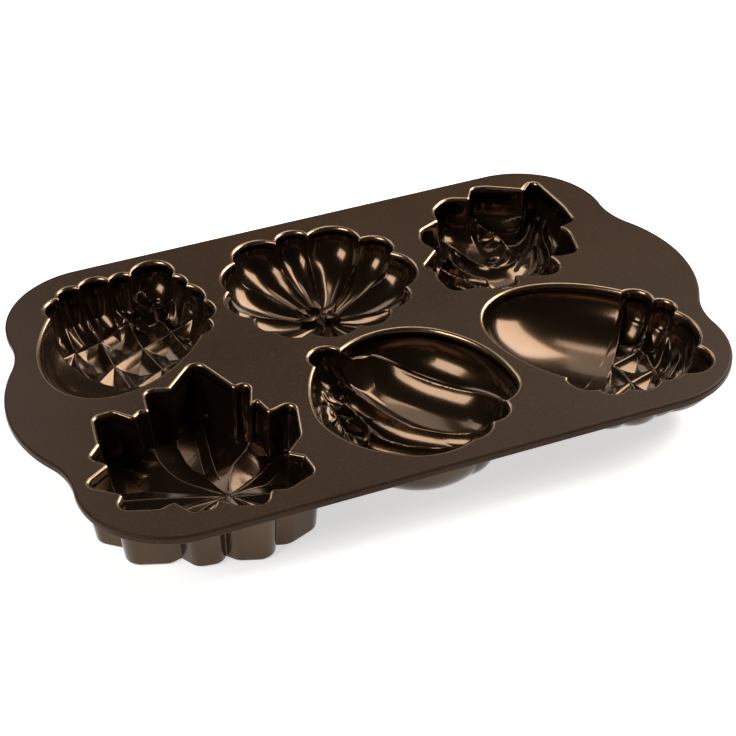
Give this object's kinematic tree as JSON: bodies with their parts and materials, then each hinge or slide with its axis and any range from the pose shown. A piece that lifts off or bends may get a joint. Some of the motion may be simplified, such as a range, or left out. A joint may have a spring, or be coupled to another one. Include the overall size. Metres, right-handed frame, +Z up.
{
  "type": "cakelet pan",
  "caption": "Flat cast baking pan with lobed end grips, whose deep autumn moulds shape small cakes as acorns, a pumpkin, a squash, a maple leaf and a petal rosette.",
  "frame": {"origin": "middle of the pan on the surface that it stands on, at its feet", "axes": "+X along the pan from the left grip to the right grip, +Y towards the back edge, +Z up out of the moulds"},
  "size_m": [0.356, 0.224, 0.033],
  "materials": {
    "deck_coating": "satin dark bronze non-stick coating with fine metallic fleck on cast aluminium",
    "mould_coating": "semi-gloss dark bronze non-stick coating on cast aluminium"
  },
  "bodies": {
    "root": {"deck_plate": "deck_coating", "left_grip": "deck_coating", "right_grip": "deck_coating", "cap_acorn_cup": "mould_coating", "pumpkin_cup": "mould_coating", "petal_rosette_cup": "mould_coating", "maple_leaf_cup": "mould_coating", "ribbed_squash_cup": "mould_coating", "side_acorn_cup": "mould_coating"}
  },
  "joints": []
}
